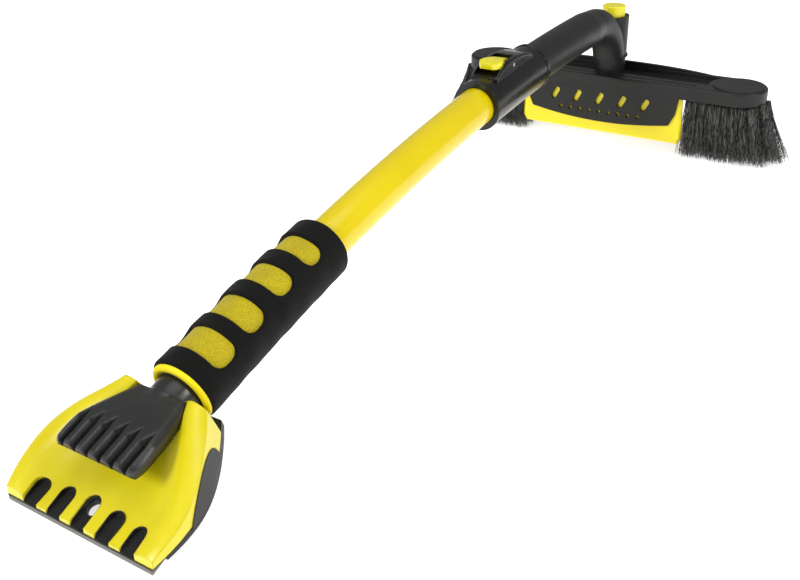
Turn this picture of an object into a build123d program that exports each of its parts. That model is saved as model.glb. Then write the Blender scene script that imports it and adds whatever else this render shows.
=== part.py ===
from build123d import *
from math import cos, degrees, pi, radians, sin
import os

os.makedirs("parts", exist_ok=True)

# Snow brush with a windshield ice scraper, in millimetres.
# +Z is up and the floor is Z = 0: the bristle tips and the scraper's edge rest on it.
# The handle lies in the plane X = 0 and the scraper points along -Y.

# Driving dimensions of the whole tool
reach = 647.4              # brush pivot to the scraper's cutting edge
head_end_radius = 24.4     # rounded ends of the brush head, and half its depth
pivot_y = (reach - head_end_radius) / 2
blade_y = pivot_y - reach

# The handle is bent to one radius. A place on it is its run: the length of arc back
# from the crown of the arch, which lies a little before the brush pivot.
arch_radius = 1918.0
crown_y = pivot_y - 27.4
crown_height = 115.6
tube_radius = 14.0
tube_wall = 1.4
tube_near = 543.0
tube_far = 62.0
grip_near = 548.4
grip_far = 411.7
sleeve_radius = 17.3       # inner foam
sleeve_lip = 1.6           # shows beyond the outer foam
grip_radius = 20.4         # outer foam

# Arm: a sleeve that the tube slides in, an elbow and the post
arm_radius = 15.5
arm_bore = 14.25
arm_near = 180.0
arm_bore_end = 52.0
bend_radius = 45.0
bend_start = 22.0          # run at which the arch gives way to the elbow
taper_length = 16.0        # the pipe narrows towards the elbow
leg_radius = 14.2
post_radius = 14.1
post_top = 115.7
seam = 78.9                # the arm turns on the brush head here

# Lock collar and its lever
collar_near = 228.0
collar_far = 144.0
collar_radius = 18.1
cheek_half = 11.0
lever_slot_half = 7.4
pin_along = 39.0           # from the collar's near rim
pin_up = 18.7              # above the handle's axis
pin_radius = 1.5
cam_radius = 4.2
cam_throw = 0.4

# Push button and the parts under it
button_radius = 10.3
button_top = post_top + 9.0
button_floor = 99.0
button_travel = 4.0

stem_radius = 4.0
bolt_radius = 3.0
bolt_head_radius = 6.0
nut_radius = 5.6           # to the corners
nut_low = 84.0
nut_top = 89.0
post_bores = (
    (button_floor, post_top, button_radius + 0.9),
    (nut_top, button_floor, stem_radius + 0.08),
    (nut_low, nut_top, nut_radius + 0.05),
    (seam, nut_low, bolt_radius + 0.05),
)

# Brush head
head_centre = 120.0        # centres of the rounded ends, from the pivot
head_top = 66.0
head_thick = 11.8
head_base = head_top - head_thick
rail_top = 70.0
plough_half = 78.5
plough_base = 10.2
skirt_face = -21.5         # y of the front skirt, from the pivot

# Scraper, in a plane that rises from the cutting edge
scraper_tilt = 22.0
blade_half = 51.2
slot_pitch = 17.3
slot_width = 8.5
slot_rim = 0.8             # black lining of each channel


def arch_point(run):
    turn = run / arch_radius
    return Vector(0, crown_y - arch_radius * sin(turn), crown_height - arch_radius * (1 - cos(turn)))


def arch_plane(run):
    # Across the handle: X across, Y up, Z towards the scraper.
    turn = run / arch_radius
    return Plane(origin=arch_point(run), x_dir=(1, 0, 0), z_dir=(0, -cos(turn), -sin(turn)))


def side_plane(run):
    # Along the handle: X towards the brush, Y up, Z across.
    turn = run / arch_radius
    return Plane(origin=arch_point(run), x_dir=(0, cos(turn), sin(turn)), z_dir=(1, 0, 0))


arch_axis = Axis((0, crown_y, crown_height - arch_radius), (-1, 0, 0))


def arch_turn(near, far):
    return degrees((near - far) / arch_radius)


def arch_pipe(near, far, outer, inner=0.0, mode=Mode.ADD):
    # A pipe, or a rod when there is no inner radius, that follows the arch.
    with BuildSketch(arch_plane(near)) as ring:
        Circle(outer)
        if inner > 0:
            Circle(inner, mode=Mode.SUBTRACT)
    revolve(ring.sketch, axis=arch_axis, revolution_arc=arch_turn(near, far), mode=mode)


def keep(builder, label):
    builder.part.label = label
    export_step(builder.part, f"parts/{label}.step")


# ---------------------------------------------------------------- handle
with BuildPart() as handle_tube:
    arch_pipe(tube_near, tube_far, tube_radius, tube_radius - tube_wall)
    with BuildSketch(side_plane(tube_near)):
        with Locations((10.5, 0)):
            Circle(2.05)
    extrude(amount=20, both=True, mode=Mode.SUBTRACT)
keep(handle_tube, "handle_tube")

# Guide bush pressed into the tube's end: it runs in the arm's bore.
bush_length = 14.0
with BuildPart() as tube_end_bush:
    arch_pipe(tube_far + bush_length, tube_far, tube_radius - tube_wall, 9.5)
    arch_pipe(tube_far, tube_far - 3, tube_radius + 0.15, 9.5)
keep(tube_end_bush, "tube_end_bush")

with BuildPart() as foam_sleeve:
    arch_pipe(grip_near + sleeve_lip, grip_far, sleeve_radius - 0.3, tube_radius + 0.05)
keep(foam_sleeve, "foam_sleeve")

# The outer foam is open over the fingers: four windows that show the inner foam.
window_count = 4
window_pitch = 28.5
window_length = 15.5
window_half_angle = 62.0
window_first = grip_near - 24.4
with BuildPart() as foam_grip:
    closed_from = grip_near
    for number in range(window_count):
        window_near = window_first - number * window_pitch + window_length / 2
        window_far = window_near - window_length
        arch_pipe(closed_from, window_near, grip_radius, sleeve_radius)
        with BuildSketch(arch_plane(window_near)):
            Circle(grip_radius)
            Circle(sleeve_radius, mode=Mode.SUBTRACT)
            with BuildLine():
                wedge_x = 60 * sin(radians(window_half_angle))
                wedge_y = 60 * cos(radians(window_half_angle))
                Polyline((0, 0), (wedge_x, wedge_y), (0, 80), (-wedge_x, wedge_y), close=True)
            make_face(mode=Mode.SUBTRACT)
        revolve(axis=arch_axis, revolution_arc=arch_turn(window_near, window_far))
        closed_from = window_far
    arch_pipe(closed_from, grip_far, grip_radius, sleeve_radius)
    rims = foam_grip.edges().filter_by(lambda edge: abs(edge.length - 2 * pi * grip_radius) < 1)
    rims = rims.sort_by(Axis.Y)
    chamfer([rims[0], rims[-1]], 1.8)
keep(foam_grip, "foam_grip")

# ---------------------------------------------------------------- scraper
scraper_plane = Plane(
    origin=(0, blade_y, 0),
    x_dir=(1, 0, 0),
    z_dir=(0, -sin(radians(scraper_tilt)), cos(radians(scraper_tilt))),
)
# Section along the scraper: X away from the edge, Y off the blade's plane.
section_plane = Plane(origin=scraper_plane.origin, x_dir=scraper_plane.y_dir, z_dir=(1, 0, 0))
neck_plane = arch_plane(grip_near)
half_outline = ((blade_half, 0.9), (52.8, 8), (54.6, 20), (54.3, 31), (50.8, 44), (42.5, 60), (31.5, 76), (20.5, 89))


def scraper_prism(extra=0.0, mode=Mode.ADD):
    # The scraper's plan, drawn through from below the tray to above the claw.
    with BuildSketch(scraper_plane.offset(-20)) as plan:
        with BuildLine():
            right = Spline([(x + extra, y) for x, y in half_outline])
            Line(right @ 1, (0, half_outline[-1][1]))
            Line(right @ 0, (0, half_outline[0][1]))
            mirror(about=Plane.YZ)
        make_face()
    extrude(plan.sketch, amount=60, mode=mode)


def section_slab(points, mode=Mode.INTERSECT):
    # A shape drawn in the scraper's long section and carried right across it.
    with BuildSketch(section_plane) as section:
        with BuildLine():
            Polyline(*points, close=True)
        make_face()
    extrude(section.sketch, amount=60, both=True, mode=mode)


tray_line = [(1.3, 3.0), (24, 2.6), (60, -1.5), (92, -5.5)]
tray_under = [(92, -9.5), (60, -6.5), (24, -1.2), (9.2, 0.2), (9.2, 2.2), (0.95, 2.2)]
slot_reach = (15.8, 17.5, 19.2, 17.5, 15.8)
hang_radius = 4.0
screw_head = 2.6
hang_along = 14.2
screw_places = ((-33, 36, -2.4), (33, 36, -2.4), (-26, 66, -7.0), (26, 66, -7.0))


def side_lens(mode):
    # The outline of a grip pad, seen from the side.
    with BuildSketch(section_plane) as lens:
        with BuildLine():
            Spline((26, 1.0), (37, 9.5), (52, 12.5), (63, 8.0), (67, -2.5))
            Line((67, -2.5), (60, -1.7))
            Line((60, -1.7), (26, 1.0))
        make_face()
    extrude(lens.sketch, amount=60, both=True, mode=mode)


# Across the body at each station along it: floor height, floor half width, crest place
# and height, and the outer edge's place and height.
body_back = 78.0
body_stations = (
    (0.8, 5.4, 39.0, 46.5, 6.6, 53.5, 5.6),
    (8.0, 5.8, 38.5, 46.2, 8.6, 55.5, 6.9),
    (19.0, 6.3, 37.5, 45.5, 10.2, 57.0, 8.2),
    (31.0, 7.2, 33.5, 43.0, 12.0, 57.0, 9.8),
    (43.0, 8.6, 27.5, 38.0, 14.2, 54.0, 11.6),
    (55.0, 10.2, 21.0, 31.5, 16.2, 48.0, 12.8),
    (67.0, 11.6, 15.0, 24.5, 17.6, 40.0, 12.6),
    (body_back, 12.6, 11.0, 18.5, 18.2, 33.0, 11.6),
)


def across_body(along, floor, floor_half, crest, crest_top, outer, outer_top):
    place = scraper_plane.origin + scraper_plane.y_dir * along
    with BuildSketch(Plane(origin=place, x_dir=(1, 0, 0), z_dir=-scraper_plane.y_dir)) as section:
        with BuildLine():
            half = [(floor_half, floor + 0.4), (crest, crest_top), (outer, outer_top)]
            top = Spline([(-x, y) for x, y in reversed(half)] + [(0, floor)] + half)
            right = Line(top @ 1, (outer, -12))
            base = Line(right @ 1, (-outer, -12))
            Line(base @ 1, top @ 0)
        make_face()
    return section.sketch


def channels(grow):
    # The five round-ended channels, drawn on the blade's plane.
    with BuildSketch(scraper_plane.offset(-10)) as plan:
        for number, length in enumerate(slot_reach):
            with Locations(((number - 2) * slot_pitch, (length + grow) / 2 - 5)):
                RectangleRounded(slot_width + 2 * grow, length + grow + 10, slot_width / 2 + grow - 0.01)
    return plan.sketch


def saddle():
    # Room for the claw's neck, and a clean end at the foam grip.
    with BuildSketch(neck_plane.offset(-10)) as neck_hole:
        Circle(13.75)
    extrude(neck_hole.sketch, amount=41, mode=Mode.SUBTRACT)
    with BuildSketch(neck_plane.offset(sleeve_lip + 0.4)) as beyond:
        Rectangle(200, 200)
    extrude(beyond.sketch, amount=-40, mode=Mode.SUBTRACT)


# Head of the ice claw, seen from above and in its long section.
claw_front = 29.6
claw_top = 29.5
claw_half = 28.3
claw_bend = 46.5
claw_back = 76.8
claw_back_half = 18.0
tooth_pitch = 8.7
groove_width = 5.4
groove_depth = 5.6
groove_end = 53.5


def claw_head(grow):
    with BuildSketch(scraper_plane) as plan:
        with BuildLine():
            Polyline(
                (0, claw_front - grow), (claw_half + grow, claw_front - grow), (claw_half + grow, claw_bend),
                (claw_back_half + grow, claw_back), (claw_back_half + grow, claw_back + 8), (0, claw_back + 8),
            )
            mirror(about=Plane.YZ)
        make_face()
    top = 30 * min(grow, 1)
    with BuildPart() as head:
        extrude(plan.sketch, amount=60)
        section_slab(
            [
                (claw_front - grow, 22.6 - grow), (claw_front - grow - 0.8, 25.5), (claw_front + 1.2, claw_top + top),
                (claw_bend, 28.6 + top), (claw_back, 18.3 + top), (claw_back + 0.8, 16.5 + top),
                (claw_back + 0.8, 10 - grow), (62, 15.5 - grow), (44, 20.6 - grow),
            ]
        )
    return head.part


with BuildPart() as side_pads:
    scraper_prism(0.5)
    scraper_prism(-1.6, Mode.SUBTRACT)
    side_lens(Mode.INTERSECT)
pads = side_pads.part.solids().sort_by(Axis.X)
for pad, label in ((pads[0], "side_pad_left"), (pads[-1], "side_pad_right")):
    with BuildPart() as side_pad:
        add(pad)
    keep(side_pad, label)

with BuildPart() as scraper_body:
    loft([across_body(*station) for station in body_stations])
    scraper_prism(mode=Mode.INTERSECT)
    # Front face leans back from the blade, and the underside follows the tray
    section_slab([(1.6, 3.0), (4.4, 9), (9, 40), (95, 40)] + list(reversed(tray_line))[:-1])
    extrude(channels(slot_rim), amount=30, mode=Mode.SUBTRACT)
    saddle()
    add(claw_head(0.4), mode=Mode.SUBTRACT)
    with BuildSketch(scraper_plane.offset(-10)):
        with Locations(*[(x, along) for x, along, deep in screw_places]):
            Circle(1.5)
    extrude(amount=17, mode=Mode.SUBTRACT)
    add(side_pads.part, mode=Mode.SUBTRACT)
keep(scraper_body, "scraper_body")

with BuildPart() as scraper_tray:
    scraper_prism()
    section_slab(tray_line + tray_under)
    with BuildPart() as linings:
        extrude(channels(slot_rim - 0.05), amount=30)
        section_slab([(1.4, 2.9), (4.0, 4.7), (12, 5.0), (24, 5.7), (24, 2.5)])
        extrude(channels(0), amount=30, mode=Mode.SUBTRACT)
    saddle()
    with BuildSketch(scraper_plane.offset(-20)):
        with Locations((0, hang_along)):
            Circle(hang_radius)
        with Locations(*[(x, along) for x, along, deep in screw_places]):
            Circle(1.6)
    extrude(amount=40, mode=Mode.SUBTRACT)
    for x, along, deep in screw_places:
        with BuildSketch(scraper_plane.offset(deep + 1.6)):
            with Locations((x, along)):
                Circle(screw_head + 0.2)
        extrude(amount=-12, mode=Mode.SUBTRACT)
    add(side_pads.part, mode=Mode.SUBTRACT)
keep(scraper_tray, "scraper_tray")

blade_depth = 9.0
blade_thick = 2.2
with BuildPart() as scraper_blade:
    with BuildSketch(section_plane):
        with BuildLine():
            Polyline((0, 0), (0.95, blade_thick), (blade_depth, blade_thick), (blade_depth, 0), close=True)
        make_face()
    extrude(amount=blade_half, both=True)
keep(scraper_blade, "scraper_blade")

# Ice claw: a neck that plugs into the tube and a splayed head with seven teeth.
neck_radius = 13.6
spigot_radius = tube_radius - tube_wall - 0.3
with BuildPart() as ice_claw:
    add(claw_head(0))
    # Outer teeth are rounded off
    with BuildSketch(Plane(origin=scraper_plane.origin, x_dir=(1, 0, 0), z_dir=-scraper_plane.y_dir)):
        with BuildLine():
            side = Polyline((0, 0), (claw_half, 0), (claw_half, 23.5))
            shoulder = ThreePointArc(side @ 1, (claw_half - 1.3, 27.2), (claw_half - 5, claw_top))
            Polyline(shoulder @ 1, (claw_half - 5, 60), (0, 60))
            mirror(about=Plane.YZ)
        make_face()
    extrude(amount=-100, mode=Mode.INTERSECT)
    with BuildSketch(arch_plane(tube_near - 26)):
        Circle(spigot_radius)
    extrude(amount=30)
    with BuildSketch(arch_plane(tube_near)):
        Circle(neck_radius)
    extrude(amount=34)
    with BuildSketch(side_plane(tube_near - 10.5)):
        Circle(2.05)
    extrude(amount=20, both=True, mode=Mode.SUBTRACT)
    # Wedge grooves between the teeth, open at the front and narrowing to a point on top
    for number in range(6):
        x = (number - 2.5) * tooth_pitch
        stations = (
            (claw_front - 3, groove_width / 2, claw_top - groove_depth),
            (claw_bend, groove_width / 2, 28.6 - groove_depth),
            (groove_end, 0.2, 26.0),
        )
        wedges = []
        for along, half, low in stations:
            place = scraper_plane.origin + scraper_plane.y_dir * along
            with BuildSketch(Plane(origin=place, x_dir=(1, 0, 0), z_dir=-scraper_plane.y_dir)) as wedge:
                with BuildLine():
                    Polyline((x - half, claw_top + 1), (x + half, claw_top + 1), (x, low), close=True)
                make_face()
            wedges.append(wedge.sketch)
        loft(wedges[:2], mode=Mode.SUBTRACT)
        loft(wedges[1:], mode=Mode.SUBTRACT)
keep(ice_claw, "ice_claw")

# Self-tapping screws from below, their heads let into the tray.
with BuildPart() as scraper_screws:
    for x, along, deep in screw_places:
        with BuildSketch(scraper_plane.offset(deep)):
            with Locations((x, along)):
                Circle(screw_head)
        extrude(amount=1.6)
        with BuildSketch(scraper_plane.offset(deep + 1.6)):
            with Locations((x, along)):
                Circle(1.5)
        extrude(amount=7.5)
keep(scraper_screws, "scraper_screws")

# Roll pin through the tube and the claw's spigot, under the foam.
pin_run = tube_near - 10.5
with BuildPart() as neck_pin:
    with BuildSketch(side_plane(pin_run)):
        Circle(2.0)
        Circle(1.2, mode=Mode.SUBTRACT)
    extrude(amount=tube_radius - 0.3, both=True)
keep(neck_pin, "neck_pin")

# ---------------------------------------------------------------- arm
# Elbow: the pipe follows the arch, then turns down into the leg in front of the post.
bend_top = arch_point(bend_start)
bend_centre = bend_top - Vector(0, 0, bend_radius)
bend_axis = Axis(tuple(bend_centre), (-1, 0, 0))

with BuildPart() as elbow_arm:
    arch_pipe(arm_near, bend_start + taper_length, arm_radius)
    with BuildSketch(arch_plane(bend_start + taper_length)):
        Circle(arm_radius)
    with BuildSketch(arch_plane(bend_start)):
        Circle(leg_radius)
    loft()
    with BuildSketch(arch_plane(bend_start)):
        Circle(leg_radius)
    revolve(axis=bend_axis, revolution_arc=90)
    with BuildSketch(Plane.XY.offset(seam)):
        with Locations((0, pivot_y)):
            Circle(post_radius)
    extrude(amount=post_top - seam)
    with BuildSketch(Plane.XY.offset(seam)):
        with Locations((0, pivot_y)):
            Circle(post_radius + 0.9)
    extrude(amount=2.2)
    # Bore for the tube
    arch_pipe(arm_near + 1, arm_bore_end, arm_bore, mode=Mode.SUBTRACT)
    # Everything below the seam belongs to the brush head
    with BuildSketch(Plane.XY.offset(seam)):
        with Locations((0, pivot_y)):
            Rectangle(60, 60)
    extrude(amount=-60, mode=Mode.SUBTRACT)
    # Bore of the post: button at the top, then spring seat, then lock sleeve and bolt
    for low, high, radius in post_bores:
        with BuildSketch(Plane.XY.offset(low)):
            with Locations((0, pivot_y)):
                Circle(radius)
        extrude(amount=high - low, mode=Mode.SUBTRACT)
keep(elbow_arm, "elbow_arm")

with BuildPart() as lock_collar:
    arch_pipe(collar_near, collar_far, collar_radius)
    # Housing of the lever, raised on top between two cheeks
    with BuildSketch(side_plane(collar_near)):
        with BuildLine():
            Polyline((13, 8), (13, 17.5), (16, 19.2))
            Spline((16, 19.2), (26, 22.6), (40, 23.4), (54, 21.6), (70, 16.5))
            Line((70, 16.5), (70, 8))
            Line((70, 8), (13, 8))
        make_face()
    extrude(amount=cheek_half, both=True)
    crown = lock_collar.edges().filter_by(GeomType.BSPLINE).filter_by(lambda edge: edge.length > 40)
    fillet(crown, 2.2)
    # Lips at both rims
    arch_pipe(collar_near, collar_near - 2.5, collar_radius + 0.5)
    arch_pipe(collar_far + 3.0, collar_far, collar_radius + 0.5)
    # Pocket between the cheeks, and a scoop for the fingertip under the lever's free end
    with BuildSketch(side_plane(collar_near)):
        with BuildLine():
            Polyline((20, 40), (20, 17.6), (30, 16.2), (31, 13), (45.2, 13), (45.6, 19.5), (47, 40), close=True)
        make_face()
    extrude(amount=lever_slot_half, both=True, mode=Mode.SUBTRACT)
    with BuildSketch(side_plane(collar_near)):
        with BuildLine():
            Polyline((8, 40), (8, 18.6), (26, 17.4), (32, 17.6), (32, 40), close=True)
        make_face()
    extrude(amount=cheek_half - 1.6, both=True, mode=Mode.SUBTRACT)
    # Bores: the tube runs through the near part and the arm is pushed into the rest
    arch_pipe(collar_near + 1, arm_near, arm_bore, mode=Mode.SUBTRACT)
    arch_pipe(arm_near, collar_far - 1, arm_radius, mode=Mode.SUBTRACT)
    with BuildSketch(side_plane(collar_near)):
        with Locations((pin_along, pin_up)):
            Circle(pin_radius)
    extrude(amount=20, both=True, mode=Mode.SUBTRACT)
keep(lock_collar, "lock_collar")

with BuildPart() as lever_pin:
    with BuildSketch(side_plane(collar_near)):
        with Locations((pin_along, pin_up)):
            Circle(pin_radius)
    extrude(amount=cheek_half + 0.25, both=True)
keep(lever_pin, "lever_pin")

# Flip lever: its cam grips the tube through a window in the arm.
lever_bore = pin_radius + 0.05
with BuildPart() as lock_lever:
    with BuildSketch(side_plane(collar_near)):
        with BuildLine():
            tip = Line((16.5, 25.6), (17.5, 21.8))
            lower = Spline(tip @ 1, (26, 20.2), (33.5, 18.2))
            heel = Line(lower @ 1, (35.2, 18.4))
            Line(heel @ 1, (pin_along, pin_up - cam_throw))
            Line((pin_along, pin_up - cam_throw), (42.6, 21.5))
            Spline((42.6, 21.5), (37, 23.6), (28, 25.6), tip @ 0)
        make_face()
        with Locations((pin_along, pin_up - cam_throw)):
            Circle(cam_radius)
    extrude(amount=12, both=True)
    # Teardrop plan: broad at the fingertip, narrow at the pin
    lever_top = Plane(side_plane(collar_near).origin, x_dir=(1, 0, 0), z_dir=side_plane(collar_near).y_dir)
    with BuildSketch(lever_top):
        with BuildLine():
            edge = Spline((0, 15.5), (-5.6, 17.8), (-8.4, 23.5), (-6.9, 31), (-5.9, 46))
            Line(edge @ 1, (0, 46))
            mirror(about=Plane.YZ)
        make_face()
    extrude(amount=40, mode=Mode.INTERSECT)
    with BuildSketch(side_plane(collar_near)):
        with Locations((pin_along, pin_up)):
            Circle(lever_bore)
    extrude(amount=20, both=True, mode=Mode.SUBTRACT)
keep(lock_lever, "lock_lever")

# ---------------------------------------------------------------- button and pivot
def at_pivot(height):
    return Plane(origin=(0, pivot_y, height))


def turned(radius, low, high, bore=0.0, mode=Mode.ADD):
    # A round piece on the pivot's axis.
    with BuildSketch(at_pivot(low)) as disc:
        Circle(radius)
        if bore > 0:
            Circle(bore, mode=Mode.SUBTRACT)
    extrude(disc.sketch, amount=high - low, mode=mode)


with BuildPart() as pivot_button:
    turned(button_radius, button_top - 13.5, button_top)
    fillet(pivot_button.faces().sort_by(Axis.Z)[-1].edges(), 1.4)
    turned(button_radius - 2.2, button_top - 14, button_top - 2.5, mode=Mode.SUBTRACT)
    turned(stem_radius, button_floor - 4.0, button_top - 2.0)
keep(pivot_button, "pivot_button")

with BuildPart() as button_spring:
    turned(stem_radius + 2.6, button_floor + 0.1, button_top - 2.6, stem_radius + 0.6)
keep(button_spring, "button_spring")

with BuildPart() as pivot_bolt:
    turned(bolt_radius, head_base + 2.0, nut_top - 0.5)
    turned(bolt_head_radius, head_base - 1.5, head_base + 2.0)
keep(pivot_bolt, "pivot_bolt")

with BuildPart() as pivot_washer:
    turned(bolt_head_radius + 1.0, head_base + 2.0, head_base + 2.9, bolt_radius + 0.1)
keep(pivot_washer, "pivot_washer")

with BuildPart() as pivot_nut:
    with BuildSketch(at_pivot(nut_low)):
        RegularPolygon(nut_radius, 6)
        Circle(bolt_radius, mode=Mode.SUBTRACT)
    extrude(amount=nut_top - nut_low)
keep(pivot_nut, "pivot_nut")

# ---------------------------------------------------------------- brush head
def head_plane(height):
    return Plane(origin=(0, pivot_y, height))


def across_head(y):
    # An upright plane across the head, X to the right and Y up.
    return Plane(origin=(0, pivot_y + y, 0), x_dir=(1, 0, 0), z_dir=(0, -1, 0))


head_span = 2 * (head_centre + head_end_radius)
middle_half = 92.0
with BuildPart() as brush_block:
    with BuildSketch(head_plane(head_base)):
        SlotOverall(head_span, 2 * head_end_radius)
    extrude(amount=head_thick)
    fillet(brush_block.faces().sort_by(Axis.Z)[-1].edges(), 2.0)
    # Sunken channel behind the front band; its rear wall stands above the round ends
    with BuildSketch(head_plane(head_top)):
        with Locations((0, 18.6)):
            Rectangle(2 * middle_half, 6.0)
    extrude(amount=-6)
    with BuildSketch(Plane(origin=(0, pivot_y + 21.6, 0), x_dir=(1, 0, 0), z_dir=(0, -1, 0))):
        with BuildLine():
            Polyline((-middle_half - 6, head_top - 3), (-middle_half - 6, head_top - 0.5))
            Spline((-middle_half - 6, head_top - 0.5), (-60, rail_top - 1.2), (0, rail_top), (60, rail_top - 1.2), (middle_half + 6, head_top - 0.5))
            Polyline((middle_half + 6, head_top - 0.5), (middle_half + 6, head_top - 3), (-middle_half - 6, head_top - 3))
        make_face()
    extrude(amount=3.4)
    with BuildSketch(head_plane(head_top + 10)):
        with Locations((0, 4.5)):
            Rectangle(2 * head_centre, 27)
        with Locations((-head_centre, 0), (head_centre, 0)):
            Circle(head_end_radius + 1.2, mode=Mode.SUBTRACT)
    extrude(amount=-14.5, mode=Mode.SUBTRACT)
    # Round caps on both ends
    with BuildSketch(head_plane(head_top - 0.5)):
        with Locations((-head_centre, 0), (head_centre, 0)):
            Circle(head_end_radius - 2.2)
    extrude(amount=1.2)
    # Narrow groove along the front band
    with BuildSketch(head_plane(head_top + 1)):
        with Locations((0, -16.0)):
            RectangleRounded(2 * middle_half - 8, 2.2, 1)
    extrude(amount=-4, mode=Mode.SUBTRACT)
    # Post that the arm turns on
    with BuildSketch(head_plane(head_base)):
        with Locations((0, 0)):
            Circle(post_radius - 0.5)
    extrude(amount=seam - 0.3 - head_base)
    # Holes for the pivot bolt and its head
    with BuildSketch(head_plane(head_base - 1)):
        Circle(bolt_radius + 0.05)
    extrude(amount=40, mode=Mode.SUBTRACT)
    with BuildSketch(head_plane(head_base)):
        Circle(bolt_head_radius + 1.4)
    extrude(amount=3.0, mode=Mode.SUBTRACT)
keep(brush_block, "brush_block")

# Skirt below the block's front, with a bowed lower edge and a row of slanted openings.
skirt_thick = 3.0
opening_count = 5
opening_pitch = 22.0
small_count = 9
small_pitch = 9.5
with BuildPart() as front_skirt:
    with BuildSketch(across_head(skirt_face)):
        with BuildLine():
            left = Line((-74.5, head_base), (-72.0, 38))
            low_left = Line(left @ 1, (-67.0, 27.5))
            bow = ThreePointArc(low_left @ 1, (0, 21.3), (67.0, 27.5))
            low_right = Line(bow @ 1, (72.0, 38))
            right = Line(low_right @ 1, (74.5, head_base))
            Line(right @ 1, left @ 0)
        make_face()
        with Locations(*[((place - 2) * opening_pitch, 43.0) for place in range(opening_count)]):
            SlotOverall(12.5, 5.0, rotation=62, mode=Mode.SUBTRACT)
        with Locations(*[((place - 4) * small_pitch, 31.0) for place in range(small_count)]):
            Circle(1.7, mode=Mode.SUBTRACT)
    extrude(amount=-skirt_thick)
    fillet(front_skirt.edges().filter_by(GeomType.CIRCLE).filter_by(lambda edge: edge.length > 100), 0.8)
keep(front_skirt, "front_skirt")

# Plough plate that pushes loose snow, behind the skirt and below it.
plate_thick = 3.4
plate_face = skirt_face + skirt_thick + 0.05
with BuildPart() as plough_plate:
    with BuildSketch(across_head(plate_face)):
        with BuildLine():
            Polyline(
                (-76.5, head_base), (-plough_half - 0.5, 16), (-plough_half + 3, plough_base),
                (plough_half - 3, plough_base), (plough_half + 0.5, 16), (76.5, head_base), close=True,
            )
        make_face()
    extrude(amount=-plate_thick)
    front_edges = plough_plate.faces().sort_by(Axis.Y)[0].edges()
    chamfer(front_edges.sort_by(Axis.Z)[:-1], 2.0)
    # Stiffening ribs on its back
    for place in range(5):
        with BuildSketch(Plane(origin=((place - 2) * 32.0, pivot_y, 0), x_dir=(0, 1, 0), z_dir=(1, 0, 0))):
            with BuildLine():
                back = plate_face + plate_thick
                Polyline((back - 0.5, head_base), (back + 9, head_base), (back + 2, 18), (back - 0.5, 16), close=True)
            make_face()
        extrude(amount=1.2, both=True)
keep(plough_plate, "plough_plate")

# Bristle fields: tufts set in the block, spread towards their tips.
for side, name in ((-1, "bristles_left"), (1, "bristles_right")):
    with BuildPart() as bristles:
        with BuildSketch(head_plane(head_base)) as roots:
            with BuildLine():
                Polyline((side * 81, -15), (side * 128, -15))
                Spline((side * 128, -15), (side * 141, 0), (side * 128, 15))
                Polyline((side * 128, 15), (side * 81, 15), (side * 81, -15))
            make_face()
        with BuildSketch(head_plane(0)) as tips:
            with BuildLine():
                Polyline((side * 83.5, -17), (side * 148, -17))
                Spline((side * 148, -17), (side * 166, 2), (side * 158, 19))
                Polyline((side * 158, 19), (side * 83.5, 17), (side * 83.5, -17))
            make_face()
        loft()
    keep(bristles, name)

plate_screws = (-56, -24, 24, 56)
with BuildPart() as plate_screw_set:
    for x in plate_screws:
        with BuildSketch(Plane(origin=(x, pivot_y + plate_face + plate_thick + 2.4, 50), x_dir=(1, 0, 0), z_dir=(0, -1, 0))):
            Circle(3.0)
        extrude(amount=2.4)
keep(plate_screw_set, "plate_screws")
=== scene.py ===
import bpy
import numpy as np
from math import cos, pi, radians, sin
from mathutils import Matrix, Vector


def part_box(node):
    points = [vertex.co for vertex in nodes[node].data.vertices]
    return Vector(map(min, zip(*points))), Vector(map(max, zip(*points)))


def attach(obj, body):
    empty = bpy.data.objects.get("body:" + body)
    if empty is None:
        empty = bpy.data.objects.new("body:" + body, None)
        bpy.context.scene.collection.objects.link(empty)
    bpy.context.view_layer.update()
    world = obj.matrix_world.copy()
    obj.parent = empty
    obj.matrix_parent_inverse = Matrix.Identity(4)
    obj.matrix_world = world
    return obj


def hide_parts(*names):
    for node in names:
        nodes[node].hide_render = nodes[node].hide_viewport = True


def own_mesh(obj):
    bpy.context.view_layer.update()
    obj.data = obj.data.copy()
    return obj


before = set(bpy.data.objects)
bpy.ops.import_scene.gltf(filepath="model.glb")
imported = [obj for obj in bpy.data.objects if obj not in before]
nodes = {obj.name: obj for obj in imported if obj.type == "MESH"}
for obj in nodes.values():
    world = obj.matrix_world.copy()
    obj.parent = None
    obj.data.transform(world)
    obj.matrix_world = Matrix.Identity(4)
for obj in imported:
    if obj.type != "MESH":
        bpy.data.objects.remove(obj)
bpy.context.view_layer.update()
scene = bpy.context.scene
scene.view_settings.view_transform = "Standard"
print("frame loaded:", len(nodes), "nodes")

# The handle is one long arc. A place on it is its run, back from the crown towards the scraper.
arch = {"radius": 1.918, "crownY": 0.2841, "crownZ": 0.1156}
pivotY = 0.3115
bladeY = -0.3359
scraperTilt = radians(22)


def archPoints(run, across, up):
    # crown + R * (sin, cos) of run / R, then across on X and up along the arc's own radius
    turn = run / arch["radius"]
    reach = arch["radius"] + up
    y = arch["crownY"] - reach * np.sin(turn)
    z = arch["crownZ"] - arch["radius"] + reach * np.cos(turn)
    return np.stack([across + 0 * y, y, z], axis=-1)


def scraperPoints(across, along, height):
    # along the tilted blade plane from the cutting edge, and height off it
    y = bladeY + along * cos(scraperTilt) - height * sin(scraperTilt)
    z = along * sin(scraperTilt) + height * cos(scraperTilt)
    return np.stack([across + 0 * y, y, z], axis=-1)


def smoothStep(low, high, value):
    t = np.clip((value - low) / (high - low), 0, 1)
    return t * t * (3 - 2 * t)


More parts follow.
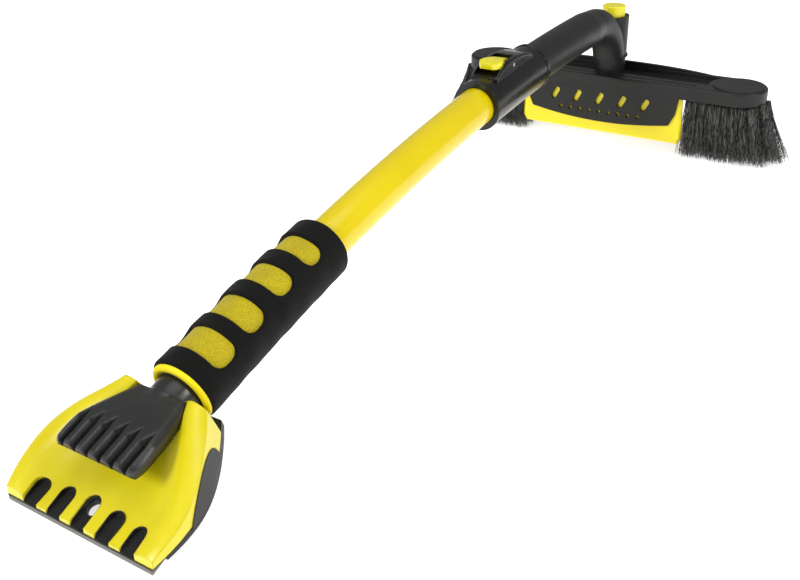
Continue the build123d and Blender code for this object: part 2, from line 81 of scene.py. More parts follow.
def gridFaces(rows, columns, wrapRows=False, wrapColumns=False):
    # quads of a rows x columns grid, closed round either way
    r = np.arange(rows if wrapRows else rows - 1)[:, None]
    c = np.arange(columns if wrapColumns else columns - 1)[None, :]
    nextR, nextC = (r + 1) % rows, (c + 1) % columns
    corners = [r * columns + c, r * columns + nextC, nextR * columns + nextC, nextR * columns + c]
    return np.stack([x + 0 * (r + c) for x in corners], axis=-1).reshape(-1, 4)


def newPiece(name, points, faces, body, slot):
    # one smooth-shaded mesh from whole arrays, riding a body; the slot argument is not used
    mesh = bpy.data.meshes.new(name)
    faces = np.asarray(faces)
    sides = faces.shape[1]
    mesh.vertices.add(len(points))
    mesh.vertices.foreach_set("co", np.asarray(points, np.float32).ravel())
    mesh.loops.add(faces.size)
    mesh.loops.foreach_set("vertex_index", faces.astype(np.int32).ravel())
    mesh.polygons.add(len(faces))
    mesh.polygons.foreach_set("loop_start", np.arange(0, faces.size, sides, dtype=np.int32))
    mesh.update(calc_edges=True)
    mesh.validate()
    mesh.polygons.foreach_set("use_smooth", np.full(len(mesh.polygons), True))
    piece = bpy.data.objects.new(name, mesh)
    scene.collection.objects.link(piece)
    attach(piece, body)
    return piece


def cappedTube(rings):
    # rings of points along a path, as triangles, with a fan from the middle of each end ring
    rows, columns = rings.shape[:2]
    points = np.concatenate([rings.reshape(-1, 3), rings[[0, -1]].mean(axis=1)])
    sheath = gridFaces(rows, columns, wrapColumns=True)
    first = np.arange(columns)
    following = (first + 1) % columns
    last = (rows - 1) * columns
    start = np.stack([0 * first + rows * columns, following, first], axis=-1)
    end = np.stack([0 * first + rows * columns + 1, last + first, last + following], axis=-1)
    return points, np.concatenate([sheath[:, [0, 1, 2]], sheath[:, [0, 2, 3]], start, end])


# Camera: low on the scraper's side, looking along the handle to the brush
cameraPlace = {"at": (0.3351, -0.5464, 0.3243), "yaw": -34.047, "pitch": 28.385, "roll": -1.938,
               "lens": 44.02}
yaw, pitch, roll = (radians(cameraPlace[k]) for k in ("yaw", "pitch", "roll"))
forward = Vector((sin(yaw) * cos(pitch), cos(yaw) * cos(pitch), -sin(pitch)))
right = Vector((cos(yaw), -sin(yaw), 0))
up = right.cross(forward)
right, up = right * cos(roll) + up * sin(roll), up * cos(roll) - right * sin(roll)
camera = bpy.data.objects.new("camera", bpy.data.cameras.new("camera"))
camera.data.lens = cameraPlace["lens"]
camera.data.clip_start = 0.01
facing = Matrix((right, up, -forward)).transposed().to_4x4()
camera.matrix_world = Matrix.Translation(cameraPlace["at"]) @ facing
scene.collection.objects.link(camera)
scene.camera = camera

# Light: a pale room, a broad overhead panel, a side panel that draws the streak along the tube, and a
# front panel for the scraper and the plough plate
lights = {
    "overhead": {"at": (0.2, 0.0, 1.6), "to": (0, 0, 0), "size": 1.4, "power": 9.5},
    "side": {"at": (1.5, 0.1, 1.0), "to": (0, 0.1, 0.1), "size": 0.5, "power": 10.5},
    "front": {"at": (-0.5, -1.7, 1.1), "to": (0, -0.2, 0), "size": 0.6, "power": 18},
}
roomStrength = 0.36
for name, light in lights.items():
    lamp = bpy.data.lights.new(name, "AREA")
    lamp.energy, lamp.size = light["power"], light["size"]
    lampObject = bpy.data.objects.new(name, lamp)
    lampObject.location = light["at"]
    aim = Vector(light["to"]) - Vector(light["at"])
    lampObject.rotation_euler = aim.to_track_quat("-Z", "Y").to_euler()
    scene.collection.objects.link(lampObject)
world = bpy.data.worlds.new("paleRoom")
world.use_nodes = True
background = world.node_tree.nodes["Background"]
background.inputs["Color"].default_value = (1, 1, 1, 1)
background.inputs["Strength"].default_value = roomStrength
scene.world = world
print("camera and lights placed")


def linearColour(hexCode):
    # sRGB hex to linear light: below 0.04045 divide by 12.92, above it raise to 2.4
    parts = np.array([int(hexCode[i:i + 2], 16) / 255 for i in (1, 3, 5)])
    linear = np.where(parts <= 0.04045, parts / 12.92, ((parts + 0.055) / 1.055) ** 2.4)
    return (*[float(x) for x in linear], 1.0)


def addNode(tree, kind, settings=None, links=None):
    # adds one node, sets its properties, its ramp's two stops of (place, hex) or its sockets, and
    # links what comes in
    made = tree.nodes.new(kind)
    for key, value in (settings or {}).items():
        if key == "stops":
            for element, (place, hexCode) in zip(made.color_ramp.elements, value):
                element.position, element.color = place, linearColour(hexCode)
        elif isinstance(key, str) and hasattr(made, key):
            setattr(made, key, value)
        else:
            made.inputs[key].default_value = value
    for key, source in (links or {}).items():
        tree.links.new(source, made.inputs[key])
    return made


def makeFinish(name, finish):
    # One moulded, painted or foam surface: two close colours in soft patches, which "span" sharpens and
    # "stretch" draws out along Z, a grain for roughness and bump, and worn corners where "edge" is set.
    material = bpy.data.materials.new(name)
    material.use_nodes = True
    tree = material.node_tree
    shader = tree.nodes["Principled BSDF"]
    place = addNode(tree, "ShaderNodeTexCoord").outputs["Object"]
    if finish.get("stretch"):
        drawn = addNode(tree, "ShaderNodeMapping", {"Scale": (1, 1, finish["stretch"])}, {"Vector": place})
        place = drawn.outputs["Vector"]
    patch = addNode(tree, "ShaderNodeTexNoise",
                    {"Scale": 1 / finish["patch"], "Detail": 3.0, "Roughness": 0.55}, {"Vector": place})
    grain = addNode(tree, "ShaderNodeTexNoise",
                    {"Scale": 1 / finish["grain"], "Detail": 2.0, "Roughness": 0.6}, {"Vector": place})
    low, high = finish.get("span", (0.3, 0.7))
    colour = addNode(tree, "ShaderNodeValToRGB",
                     {"stops": ((low, finish["dark"]), (high, finish["light"]))},
                     {"Fac": patch.outputs["Fac"]}).outputs["Color"]
    if finish.get("speckle"):
        spots = addNode(tree, "ShaderNodeValToRGB",
                        {"stops": ((0.35, finish["speckle"]), (0.6, "#FFFFFF"))},
                        {"Fac": grain.outputs["Fac"]}).outputs["Color"]
        # on a colour Mix node, socket 0 is the factor, 6 and 7 the two colours, and output 2 the result
        mix = addNode(tree, "ShaderNodeMix", {"data_type": "RGBA", "blend_type": "MULTIPLY", 0: 1.0},
                      {6: colour, 7: spots})
        colour = mix.outputs[2]
    tree.links.new(colour, shader.inputs["Base Color"])
    smoothest, roughest = finish["rough"]
    rough = addNode(tree, "ShaderNodeMapRange",
                    {"From Min": 0.3, "From Max": 0.7, "To Min": smoothest, "To Max": roughest},
                    {"Value": patch.outputs["Fac"]})
    tree.links.new(rough.outputs["Result"], shader.inputs["Roughness"])
    bump = addNode(tree, "ShaderNodeBump",
                   {"Strength": finish["bump"], "Distance": finish["depth"]},
                   {"Height": grain.outputs["Fac"]})
    if finish.get("edge"):
        edge = addNode(tree, "ShaderNodeBevel", {"samples": 4, "Radius": finish["edge"]})
        tree.links.new(edge.outputs["Normal"], bump.inputs["Normal"])
    tree.links.new(bump.outputs["Normal"], shader.inputs["Normal"])
    for socket, value in finish.get("set", {}).items():
        shader.inputs[socket].default_value = value
    return material


# What each surface is made of. Lengths are in metres.
finishes = {
    # powder-coated aluminium tube: hard gloss with a faint orange peel about 2 mm across
    "powderCoat": {"dark": "#D9C100", "light": "#E2CB00", "patch": 0.06, "grain": 0.002,
        "rough": (0.2, 0.26), "bump": 0.05, "depth": 0.0001,
        "set": {"IOR": 1.5, "Coat Weight": 0.3, "Coat Roughness": 0.05, "Specular IOR Level": 0.3}},
    # moulded ABS, semi-gloss: very fine spark-eroded texture that softens the highlights
    "yellowAbs": {"dark": "#DBCB06", "light": "#E3D410", "patch": 0.03, "grain": 0.0007,
        "rough": (0.27, 0.35), "bump": 0.12, "depth": 0.0001, "edge": 0.0012, "set": {"IOR": 1.53}},
    "yellowPlough": {"dark": "#EEDA00", "light": "#F5E202", "patch": 0.04, "grain": 0.0007,
        "rough": (0.32, 0.4), "bump": 0.1, "depth": 0.0001, "edge": 0.0006, "set": {"IOR": 1.53}},
    "yellowLever": {"dark": "#E2D608", "light": "#EEE21A", "patch": 0.01, "grain": 0.0006,
        "rough": (0.24, 0.34), "bump": 0.1, "depth": 0.0001, "edge": 0.0006, "set": {"IOR": 1.53}},
    # glass-filled nylon: satin black with a slight grey bloom from the fibres
    "blackNylon": {"dark": "#141413", "light": "#1B1B19", "patch": 0.02, "grain": 0.0008,
        "rough": (0.4, 0.5), "bump": 0.2, "depth": 0.00012, "edge": 0.0008,
        "set": {"IOR": 1.53, "Specular IOR Level": 0.3}},
    "blackGloss": {"dark": "#09090A", "light": "#0E0E0F", "patch": 0.02, "grain": 0.0008,
        "rough": (0.2, 0.3), "bump": 0.1, "depth": 0.0001, "edge": 0.0008,
        "set": {"IOR": 1.53, "Specular IOR Level": 0.36}},
    "blackClaw": {"dark": "#1D1D1C", "light": "#262524", "patch": 0.015, "grain": 0.0006,
        "rough": (0.28, 0.38), "bump": 0.2, "depth": 0.0001, "edge": 0.0014, "set": {"IOR": 1.53}},
    # soft thermoplastic rubber over the scraper's edges
    "softRubber": {"dark": "#2A2A29", "light": "#323230", "patch": 0.01, "grain": 0.0005,
        "rough": (0.6, 0.7), "bump": 0.35, "depth": 0.00015, "edge": 0.0008, "set": {"IOR": 1.5}},
    # painted shade: a near-black finish for the ring standing in for the shadow in the joint line; almost
    # no light comes back from it
    "seamShadeBlack": {"dark": "#040404", "light": "#070707", "patch": 0.01, "grain": 0.0005,
        "rough": (0.5, 0.6), "bump": 0.2, "depth": 0.0001,
        "set": {"IOR": 1.5, "Specular IOR Level": 0.3}},
    # grey polycarbonate lip, scuffed across its face
    "greyBlade": {"dark": "#5C5B56", "light": "#6A6962", "patch": 0.004, "grain": 0.0004,
        "rough": (0.4, 0.55), "bump": 0.3, "depth": 0.0001, "edge": 0.0003, "set": {"IOR": 1.58}},
    # closed-cell foam: cells of about 0.4 mm, drawn at 0.8 mm so that they show
    "blackFoam": {"dark": "#080807", "light": "#0D0D0B", "patch": 0.02, "grain": 0.0008,
        "rough": (0.85, 0.95), "bump": 0.6, "depth": 0.0004, "speckle": "#7A7A78",
        "set": {"Sheen Weight": 0.05, "Sheen Roughness": 0.5, "IOR": 1.45, "Specular IOR Level": 0.25}},
    "yellowFoam": {"dark": "#BBAA00", "light": "#C8B700", "patch": 0.02, "grain": 0.0008,
        "rough": (0.8, 0.9), "bump": 0.6, "depth": 0.0004, "speckle": "#D8D0A0",
        "set": {"Sheen Weight": 0.1, "Sheen Roughness": 0.5, "IOR": 1.45}},
    # the same foam at its rolled cut end, painted lighter: a lit copy of the yellow foam that stands in
    # for light on the lip, which lies in shade
    "litYellowLip": {"dark": "#F2DE00", "light": "#FAE900", "patch": 0.02, "grain": 0.0008,
        "rough": (0.6, 0.7), "bump": 0.3, "depth": 0.0003, "set": {"IOR": 1.45}},
    # nylon filament, drawn and crimped: grey glints about 1.3 mm across, drawn out 12 times along each
    "filament": {"dark": "#0A0A0A", "light": "#6C6C68", "patch": 0.0013, "grain": 0.001,
        "stretch": 0.08, "span": (0.44, 0.6), "rough": (0.3, 0.5), "bump": 0.05, "depth": 0.0001,
        "set": {"IOR": 1.53}},
    # zinc-plated steel, lightly brushed
    "zincSteel": {"dark": "#A6A7A6", "light": "#BFC0BE", "patch": 0.004, "grain": 0.0003,
        "rough": (0.3, 0.42), "bump": 0.2, "depth": 0.00005, "edge": 0.0002, "set": {"Metallic": 1.0}},
    "greyAcetal": {"dark": "#4B4B49", "light": "#5A5A57", "patch": 0.005, "grain": 0.0004,
        "rough": (0.4, 0.5), "bump": 0.1, "depth": 0.00005, "edge": 0.0003, "set": {"IOR": 1.48}},
}
materials = {name: makeFinish(name, finish) for name, finish in finishes.items()}
nodeFinishes = {
    "powderCoat": ["handle_tube"],
    "yellowAbs": ["scraper_body"],
    "yellowPlough": ["plough_plate"],
    "yellowLever": ["lock_lever", "pivot_button"],
    "blackNylon": ["elbow_arm", "brush_block", "front_skirt", "scraper_tray"],
    "blackGloss": ["lock_collar"],
    "blackClaw": ["ice_claw"],
    "softRubber": ["side_pad_left", "side_pad_right"],
    "greyBlade": ["scraper_blade"],
    "greyAcetal": ["tube_end_bush"],
    "yellowFoam": ["foam_sleeve"],
    "blackFoam": ["foam_grip"],
    "filament": ["bristles_left", "bristles_right"],
    "zincSteel": ["scraper_screws", "neck_pin", "lever_pin", "pivot_bolt", "pivot_washer", "pivot_nut",
                  "button_spring", "plate_screws"],
}
for finish, names in nodeFinishes.items():
    for name in names:
        slots = nodes[name].data.materials
        slots.clear()
        slots.append(materials[finish])
print("finishes made:", len(materials))

# Foam grip: the outer foam with rounded windows, and the inner foam that shows through them.
# Each window: where it is along the handle, its length, and the angle at its middle in degrees.
grip = {"near": 0.5484, "far": 0.4205, "outer": 0.0204, "inner": 0.0166, "rim": 0.0024,
        "windows": ((0.5266, 0.0176, 3), (0.5001, 0.0172, 0), (0.4717, 0.0166, -7),
                    (0.4440, 0.0154, -6)),
        "windowHalf": 67.0, "cornerRadius": 0.0076, "wall": 0.0010, "wave": 0.00018, "cell": 0.00055,
        "bore": 0.0150}
sleeve = {"near": 0.5500, "far": 0.4205, "outer": 0.0184, "bore": 0.01405, "swell": 0.0002,
          "rim": 0.0012, "cell": 0.0009}
lip = {"run": 0.5484, "middle": 0.0168, "thick": 0.0023, "wave": 0.0002, "columns": 96, "rows": 20}


def windowDistance(run, angle):
    # signed distance to the nearest rounded window, on the foam's unrolled surface; below 0 is inside
    distance = np.full(np.broadcast(run, angle).shape, 1.0)
    halfAcross = radians(grip["windowHalf"]) * grip["outer"] - grip["cornerRadius"]
    for centre, length, middle in grip["windows"]:
        dx = np.abs(angle - radians(middle)) * grip["outer"] - halfAcross
        dy = np.abs(run - centre) - length / 2 + grip["cornerRadius"]
        outside = np.hypot(np.maximum(dx, 0), np.maximum(dy, 0))
        inside = np.minimum(np.maximum(dx, dy), 0)
        distance = np.minimum(distance, outside + inside - grip["cornerRadius"])
    return distance


def foamWave(run, angle):
    # a slight unevenness, as cut foam has: ripples 20 mm apart along the handle, in three lobes round it
    return np.sin(run * 310 + 1.7 * np.sin(angle * 2)) * np.cos(angle * 3 + run * 90)


def roundTube(name, near, far, radiusAt, bore, cell, body, slot):
    # radius over (run, angle) on the arch, closed by rounded ends onto the bore
    columns = int(2 * pi * grip["outer"] / cell)
    rows = int((near - far) / cell)
    runs = near + (far - near) * np.linspace(0, 1, rows)
    angles = np.linspace(0, 2 * pi, columns, endpoint=False) - pi
    run, angle = np.meshgrid(runs, angles, indexing="ij")
    radius = radiusAt(run, angle)
    boreRun = np.array([far, near])[:, None] + 0 * angle[:2]
    run = np.vstack([run, boreRun])
    radius = np.vstack([radius, np.full(boreRun.shape, bore)])
    angle = np.vstack([angle, angle[:2]])
    points = archPoints(run, radius * np.sin(angle), radius * np.cos(angle)).reshape(-1, 3)
    faces = gridFaces(rows + 2, columns, wrapRows=True, wrapColumns=True)
    return newPiece(name, points, faces[:, ::-1], body, slot)


def gripRadius(run, angle):
    # full radius, dipping to the inner foam inside the windows, with rolled rims at both ends
    depth = grip["outer"] - grip["inner"]
    lift = smoothStep(-grip["wall"], 0.25 * grip["wall"], windowDistance(run, angle))
    edge = np.clip(np.minimum(grip["near"] - run, run - grip["far"]) / grip["rim"], 0, 1)
    roll = grip["rim"] * (1 - np.sqrt(1 - (1 - edge) ** 2))
    return grip["inner"] + depth * lift + grip["wave"] * foamWave(run, angle) * lift - roll


def sleeveRadius(run, angle):
    # full radius with a longer, gentler wave, and rolled rims at both ends
    edge = np.clip(np.minimum(sleeve["near"] - run, run - sleeve["far"]) / sleeve["rim"], 0, 1)
    roll = sleeve["rim"] * (1 - np.sqrt(1 - (1 - edge) ** 2))
    return sleeve["outer"] + sleeve["swell"] * foamWave(run * 0.7, angle) - roll


foamGrip = roundTube("foamGrip", grip["near"], grip["far"], gripRadius, grip["bore"], grip["cell"],
                     "handle", "foam_black")
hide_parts("foam_grip")
foamGrip.data.materials.append(materials["blackFoam"])
foamSleeve = roundTube("foamSleeve", sleeve["near"], sleeve["far"], sleeveRadius, sleeve["bore"],
                       sleeve["cell"], "handle", "foam_yellow")
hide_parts("foam_sleeve")
foamSleeve.data.materials.append(materials["yellowFoam"])

# The rolled lip of the inner foam, round the scraper's neck: a ring about the arc
turns = [np.linspace(0, 2 * pi, lip[count], endpoint=False) for count in ("columns", "rows")]
turn, around = np.meshgrid(*turns, indexing="ij")
thick = lip["thick"] + lip["wave"] * np.sin(3 * turn) * np.cos(around)
ring = lip["middle"] + thick * np.cos(around)
lipPoints = archPoints(lip["run"] + thick * np.sin(around), ring * np.sin(turn), ring * np.cos(turn))
foamLip = newPiece("foamLip", lipPoints.reshape(-1, 3), gridFaces(lip["columns"], lip["rows"], True, True),
                   "handle", "foam_yellow")
# painted light: the lip takes the brighter, lit copy of the yellow foam
foamLip.data.materials.append(materials["litYellowLip"])
print("foam grip made")

# Ice claw: one surface over (along, across), top and underside, with six wedge grooves between seven
# teeth. Lengths in millimetres on the scraper's own plane, as along from the cutting edge, and height
# off it. The neck's lengths are in metres, and its blend and sink, on that plane, in millimetres.
claw = {"top": ((28.8, 25.3), (29.4, 28.0), (31.2, 29.5), (46.5, 28.6), (76.8, 18.3), (77.6, 16.5)),
        "under": ((28.8, 24.6), (29.6, 22.6), (44.0, 20.6), (62.0, 15.5), (77.6, 10.0)),
        "grooveTop": ((28.8, 29.5), (46.5, 28.6), (60.0, 24.0)), "front": 28.8, "end": 77.6,
        "half": 28.3, "backHalf": 18.0, "bend": 46.5, "back": 76.8, "frontRound": 8.0, "frontInset": 2.6,
        "drawnFrom": 8, "drawnPast": 14, "drawnIn": 1.15, "shoulder": 6.0, "shoulderDrop": 4.6,
        "grooves": 6, "pitch": 8.7, "grooveHalf": 2.6, "grooveWiden": 1.12, "depth": 5.4,
        "grooveEnd": 54.5, "grooveFade": 1.5, "thinnest": 0.3,
        "frontBand": 2.6, "frontRows": 12, "rows": 100, "columns": 260}
neck = {"near": 0.5430, "length": 0.034, "radius": 0.0136, "spigot": 0.0118, "inTube": 0.026, "blend": 1.6,
        "blendIn": (56, 64), "blendOut": (71, 77), "blendLeast": 0.01, "inset": 0.0003, "frontRim": 0.0006,
        "sink": 8, "sinkFrom": 6, "sinkPast": 10, "below": -20, "columns": 96}


def clawHalf(along):
    # half width: rounded in at the front corners, full to the bend, then drawn in to the neck
    front = np.clip((claw["front"] + claw["frontRound"] - along) / claw["frontRound"], 0, 1)
    drawn = smoothStep(claw["bend"] - claw["drawnFrom"], claw["back"] + claw["drawnPast"], along)
    back = drawn * (claw["half"] - claw["backHalf"]) * claw["drawnIn"]
    return claw["half"] - claw["frontInset"] * (1 - np.sqrt(1 - front ** 2)) - back


def neckTop(along, across):
    # height of the neck's upper surface over the plane, along its straight axis: the axis plus the
    # half chord of its circle, sunk out of sight ahead of the neck's end
    ends = archPoints(np.array([neck["near"], neck["near"] + neck["length"]]), 0, 0)
    endAlong = ((ends[:, 1] - bladeY) * cos(scraperTilt) + ends[:, 2] * sin(scraperTilt)) * 1000
    endHeight = (-(ends[:, 1] - bladeY) * sin(scraperTilt) + ends[:, 2] * cos(scraperTilt)) * 1000
    slope = (endHeight[1] - endHeight[0]) / (endAlong[1] - endAlong[0])
    axis = endHeight[0] + slope * (along - endAlong[0])
    radius = neck["radius"] * 1000
    tall = np.sqrt(np.maximum(radius ** 2 - across ** 2, 0)) * np.sqrt(1 + slope ** 2)
    reached = smoothStep(endAlong[1] - neck["sinkFrom"], endAlong[1] + neck["sinkPast"], along)
    crown = np.where(np.abs(across) < radius, axis + tall, neck["below"])
    return crown - neck["sink"] * (1 - reached)


frontRows = claw["frontBand"] * np.linspace(0, 1, claw["frontRows"], endpoint=False) ** 1.3
backRows = np.linspace(claw["front"] + claw["frontBand"], claw["end"], claw["rows"])
alongRow = np.concatenate([claw["front"] + frontRows, backRows])
along, share = np.meshgrid(alongRow, np.linspace(-1, 1, claw["columns"]), indexing="ij")
across = share * clawHalf(along)
top = np.interp(along, *zip(*claw["top"]))
under = np.interp(along, *zip(*claw["under"]))
grooveTop = np.interp(along, *zip(*claw["grooveTop"]))
edge = np.clip((np.abs(across) - clawHalf(along) + claw["shoulder"]) / claw["shoulder"], 0, 1)
shoulder = top - claw["shoulderDrop"] * (1 - np.sqrt(1 - edge ** 2))
fade = claw["grooveEnd"] - claw["bend"] + claw["grooveFade"]
grow = np.clip((claw["grooveEnd"] - along) / fade, 0, 1)
widen = claw["grooveWiden"]
for number in range(claw["grooves"]):
    middle = (number - (claw["grooves"] - 1) / 2) * claw["pitch"]
    reach = np.abs(across - middle) / np.maximum(claw["grooveHalf"] * grow, 1e-3)
    grooveFloor = grooveTop - claw["depth"] * grow * np.clip(widen - reach, 0, 1)
    shoulder = np.where((grow > 0) & (reach < widen), np.minimum(shoulder, grooveFloor), shoulder)
# the neck's crown rises through the claw's back: half the sum of both heights and their smoothed gap
bump = neckTop(along, across)
blended = smoothStep(*neck["blendIn"], along) * (1 - smoothStep(*neck["blendOut"], along))
blendWide = neck["blend"] * blended + neck["blendLeast"]
shoulder = 0.5 * (shoulder + bump + np.sqrt((shoulder - bump) ** 2 + blendWide ** 2))
shoulder = np.maximum(shoulder, under + claw["thinnest"])
topPoints = scraperPoints(across / 1000, along / 1000, shoulder / 1000)
underPoints = scraperPoints(across / 1000, along / 1000, under / 1000)
rows, columns = along.shape
points = np.concatenate([topPoints, underPoints[::-1]]).reshape(-1, 3)
faces = gridFaces(2 * rows, columns, wrapRows=True)
row = np.arange(rows - 1)
upper, lower = row * columns, (2 * rows - 1 - row) * columns
leftWall = np.stack([upper, upper + columns, lower - columns, lower], axis=-1)
rightWall = np.stack([upper, lower, lower - columns, upper + columns], axis=-1) + columns - 1
faces = np.concatenate([faces, leftWall, rightWall])
iceClaw = newPiece("iceClaw", points, faces, "handle", "claw_black")
iceClaw.data.materials.append(materials["blackClaw"])
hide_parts("ice_claw")
# The neck is turned about the handle's arc: places on the arc from its near end, and the radius at each,
# for the spigot inside the tube, the full neck, and the end hidden in the claw
neckRuns = np.array([-neck["inTube"], -0.0002, 0, 0.0005, 0.008, 0.0145, 0.0155, neck["length"]])
neckRadii = np.array([neck["spigot"], neck["spigot"], neck["radius"] - neck["frontRim"],
                      *[neck["radius"]] * 3, *[neck["radius"] - neck["inset"]] * 2])
run, radius = neck["near"] + neckRuns[:, None], neckRadii[:, None]
turn = np.linspace(0, 2 * pi, neck["columns"], endpoint=False)[None, :]
rings = archPoints(run + 0 * turn, radius * np.sin(turn), radius * np.cos(turn))
clawNeck = newPiece("clawNeck", *cappedTube(rings), "handle", "claw_black")
clawNeck.data.materials.append(materials["blackClaw"])
print("ice claw made")

# Return spring under the button: wire carried along a helix whose end turns lie flat
springLow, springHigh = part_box("button_spring")
spring = {"wire": 0.0004, "outer": (springHigh[0] - springLow[0]) / 2, "turns": 5.0, "travel": 0.004,
          "around": 8, "perTurn": 32, "flat": 0.08}
steps = int(spring["turns"] * spring["perTurn"]) + 1
t = np.linspace(0, 1, steps)
sweep = 2 * pi * spring["turns"] * t
rise = smoothStep(spring["flat"], 1 - spring["flat"], t)
coil = spring["outer"] - spring["wire"]
low, high = springLow[2] + spring["wire"], springHigh[2] - spring["wire"]
height = low + (high - low) * rise
centre = np.stack([coil * np.cos(sweep), pivotY + coil * np.sin(sweep), height], axis=-1)
along = np.gradient(centre, axis=0)
along /= np.linalg.norm(along, axis=1, keepdims=True)
outward = np.stack([np.cos(sweep), np.sin(sweep), 0 * t], axis=-1)
upward = np.cross(along, outward)
upward /= np.linalg.norm(upward, axis=1, keepdims=True)
turn = np.linspace(0, 2 * pi, spring["around"], endpoint=False)
section = np.cos(turn)[:, None] * outward[:, None] + np.sin(turn)[:, None] * upward[:, None]
rings = centre[:, None] + spring["wire"] * section
returnSpring = newPiece("returnSpring", *cappedTube(rings), "arm", "steel")
returnSpring.data.materials.append(materials["zincSteel"])
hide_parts("button_spring")
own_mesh(returnSpring)
print("return spring made")

# Painted shade: a near-black ring in the joint line, where the elbow's foot turns on the brush head,
# standing in for the shadow of the seam rather than a real seal. The outline is the farther of two
# circles, the post's and the leg's in front of it, with softened outer corners
seamShade = {"low": 0.0788, "high": 0.0804, "inner": 0.0139, "proud": 0.0004, "post": 0.0150, "leg": 0.0142,
        "legAhead": 0.0044, "soft": 0.0004, "columns": 96}
corners = 6
turn, corner = np.meshgrid(np.linspace(0, 2 * pi, seamShade["columns"], endpoint=False), np.arange(corners),
                           indexing="ij")
halfChord = np.sqrt(seamShade["leg"] ** 2 - (seamShade["legAhead"] * np.cos(turn)) ** 2)
legReach = -seamShade["legAhead"] * np.sin(turn) + halfChord
outline = np.maximum(legReach, seamShade["post"]) + seamShade["proud"]
soft, inner = seamShade["soft"], seamShade["inner"] + 0 * turn
radius = np.choose(corner, [outline - soft, outline, outline, outline - soft, inner, inner])
height = np.choose(corner, [seamShade["low"], seamShade["low"] + soft, seamShade["high"] - soft, seamShade["high"],
                            seamShade["high"], seamShade["low"]])
sealPoints = np.stack([radius * np.cos(turn), pivotY + radius * np.sin(turn), height], axis=-1)
seamShadeRing = newPiece("seamShadeRing", sealPoints.reshape(-1, 3),
                     gridFaces(seamShade["columns"], corners, True, True), "arm", "head_black")
# painted shade: the near-black finish makes this ring read as the seam's shadow
seamShadeRing.data.materials.append(materials["seamShadeBlack"])
print("joint seal made")

# Bristles: tufts of crimped filament in rows, splayed towards their tips
bristle = {"rootZ": 0.0545, "rows": 5, "rowPitch": 0.0066, "tufts": 10, "tuftPitch": 0.0066,
           "first": 0.0815, "length": 0.062, "tuftRadius": 0.0029, "hairs": 100, "thick": 0.00021,
           "narrowing": 0.45, "segments": 8, "crimp": 0.00055, "crimpLength": 0.0095, "crimpScatter": 0.8,
           "bend": 1.25, "spread": 2.1, "outward": 0.0010, "flare": 0.018, "flarePower": 1.6,
           "splay": 1.05, "endSplay": 0.14, "scatterX": 0.0018, "scatterY": 0.0014, "strays": 0.012,
           "strayX": 0.0055, "strayY": 0.004, "tipZ": 0.0002, "tipJitter": 0.0021, "endLift": 0.004}


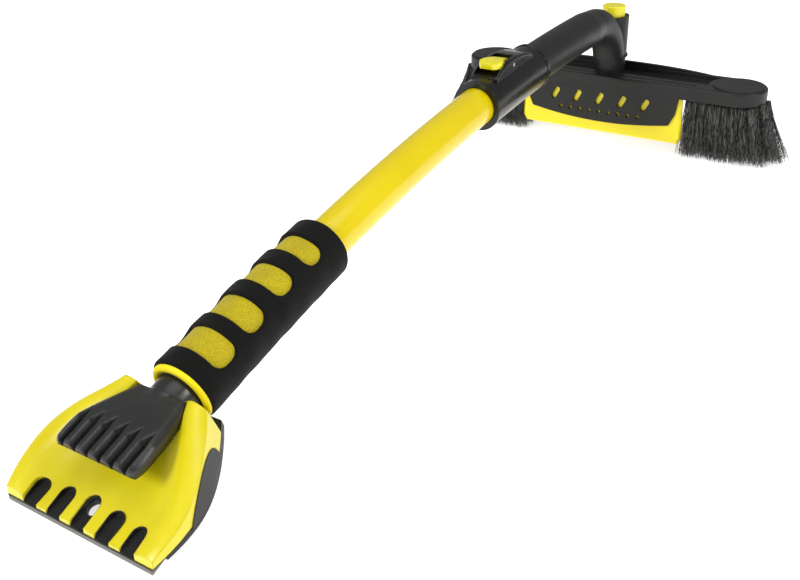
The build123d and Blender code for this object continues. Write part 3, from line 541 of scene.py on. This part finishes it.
def bristleField(name, side, rows, seed):
    # each filament: root + t * lean + crimp * sin, carried as a three-sided prism that narrows to its tip
    draw = np.random.default_rng(seed)
    tuftX, tuftY = [], []
    for row in rows:
        count = bristle["tufts"] - (1 if row in (0, bristle["rows"] - 1) else 0)
        stagger = 0.5 * (row % 2) * bristle["tuftPitch"]
        tuftX.append(bristle["first"] + stagger + bristle["tuftPitch"] * np.arange(count))
        tuftY.append(np.full(count, (row - (bristle["rows"] - 1) / 2) * bristle["rowPitch"]))
    tuftX, tuftY = np.concatenate(tuftX), np.concatenate(tuftY)
    hairs = bristle["hairs"]
    rootX = np.repeat(tuftX, hairs)
    rootY = np.repeat(tuftY, hairs)
    count = len(rootX)
    ring = bristle["tuftRadius"] * np.sqrt(draw.uniform(0, 1, count))
    turn = draw.uniform(0, 2 * pi, count)
    offX, offY = ring * np.cos(turn), ring * np.sin(turn)
    # tips flare outwards towards the brush's end, scatter about their tuft, and a few stray farther
    share = np.clip((rootX - bristle["first"]) / bristle["length"], 0, 1)
    flare = bristle["flare"] * share ** bristle["flarePower"]
    splay = bristle["splay"] + bristle["endSplay"] * share
    tipX = (rootX + offX * bristle["spread"] + bristle["outward"] + flare
            + draw.normal(0, bristle["scatterX"], count))
    tipY = (rootY + offY * bristle["spread"]) * splay + draw.normal(0, bristle["scatterY"], count)
    stray = draw.uniform(0, 1, count) < bristle["strays"]
    tipX += np.where(stray, draw.normal(0, bristle["strayX"], count), 0)
    tipY += np.where(stray, draw.normal(0, bristle["strayY"], count), 0)
    tipZ = (np.abs(draw.normal(0, bristle["tipJitter"], count)) + bristle["tipZ"]
            + bristle["endLift"] * share ** 4)
    steps = bristle["segments"] + 1
    t = np.linspace(0, 1, steps)[None, :]
    phase = np.repeat(draw.uniform(0, 2 * pi, len(tuftX)), hairs)
    phase = (phase + draw.normal(0, bristle["crimpScatter"], count))[:, None]
    crimpTurn = draw.uniform(0, pi, count)[:, None]
    wave = np.sin(2 * pi * t * bristle["rootZ"] / bristle["crimpLength"] + phase)
    crimp = bristle["crimp"] * wave * np.minimum(t * 4, 1)
    bend = t ** bristle["bend"]
    x = (rootX + offX)[:, None] + (tipX - rootX - offX)[:, None] * bend + crimp * np.cos(crimpTurn)
    y = (rootY + offY)[:, None] + (tipY - rootY - offY)[:, None] * bend + crimp * np.sin(crimpTurn)
    z = bristle["rootZ"] + (tipZ - bristle["rootZ"])[:, None] * t
    thick = bristle["thick"] * (1 - bristle["narrowing"] * t) * draw.uniform(0.8, 1.2, count)[:, None]
    corner = np.arange(3) * 2 * pi / 3
    px = side * (x[:, :, None] + thick[:, :, None] * np.cos(corner))
    py = pivotY + y[:, :, None] + thick[:, :, None] * np.sin(corner)
    pz = z[:, :, None] + 0 * px
    points = np.stack([px, py, pz], axis=-1).reshape(-1, 3)
    sheath = gridFaces(steps, 3, wrapColumns=True)
    sheath = np.concatenate([sheath[:, [0, 1, 2]], sheath[:, [0, 2, 3]]])
    last = (steps - 1) * 3
    caps = np.array([[0, 2, 1], [last, last + 1, last + 2]])
    one = np.concatenate([sheath, caps])
    if side > 0:
        one = one[:, ::-1]
    faces = (one[None] + (np.arange(count) * steps * 3)[:, None, None]).reshape(-1, 3)
    piece = newPiece(name, points, faces, "brush_head", "bristle_black")
    piece.data.materials.append(materials["filament"])
    return piece


for side, node, word in ((-1, "bristles_left", "Left"), (1, "bristles_right", "Right")):
    front = bristleField("bristlesFront" + word, side, (0, 1, 2), 11 + side)
    bristleField("bristlesRear" + word, side, (3, 4), 21 + side)
    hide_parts(node)
print("bristles made")

# Floor: plain and pale, a little luminous so that it stays white to its far edge
ground = {"half": 40, "z": -0.0005, "colour": "#F6F6F6", "rough": 0.9, "glow": 0.7}
cornerSigns = ((-1, -1), (1, -1), (1, 1), (-1, 1))
floorCorners = [(x * ground["half"], y * ground["half"], ground["z"]) for x, y in cornerSigns]
floorMesh = bpy.data.meshes.new("floor")
floorMesh.from_pydata(floorCorners, [], [(0, 1, 2, 3)])
floor = bpy.data.objects.new("floor", floorMesh)
scene.collection.objects.link(floor)
floorFinish = bpy.data.materials.new("paleFloor")
floorFinish.use_nodes = True
floorShader = floorFinish.node_tree.nodes["Principled BSDF"]
floorShader.inputs["Base Color"].default_value = linearColour(ground["colour"])
floorShader.inputs["Roughness"].default_value = ground["rough"]
floorShader.inputs["Emission Color"].default_value = (1, 1, 1, 1)
floorShader.inputs["Emission Strength"].default_value = ground["glow"]
floorMesh.materials.append(floorFinish)
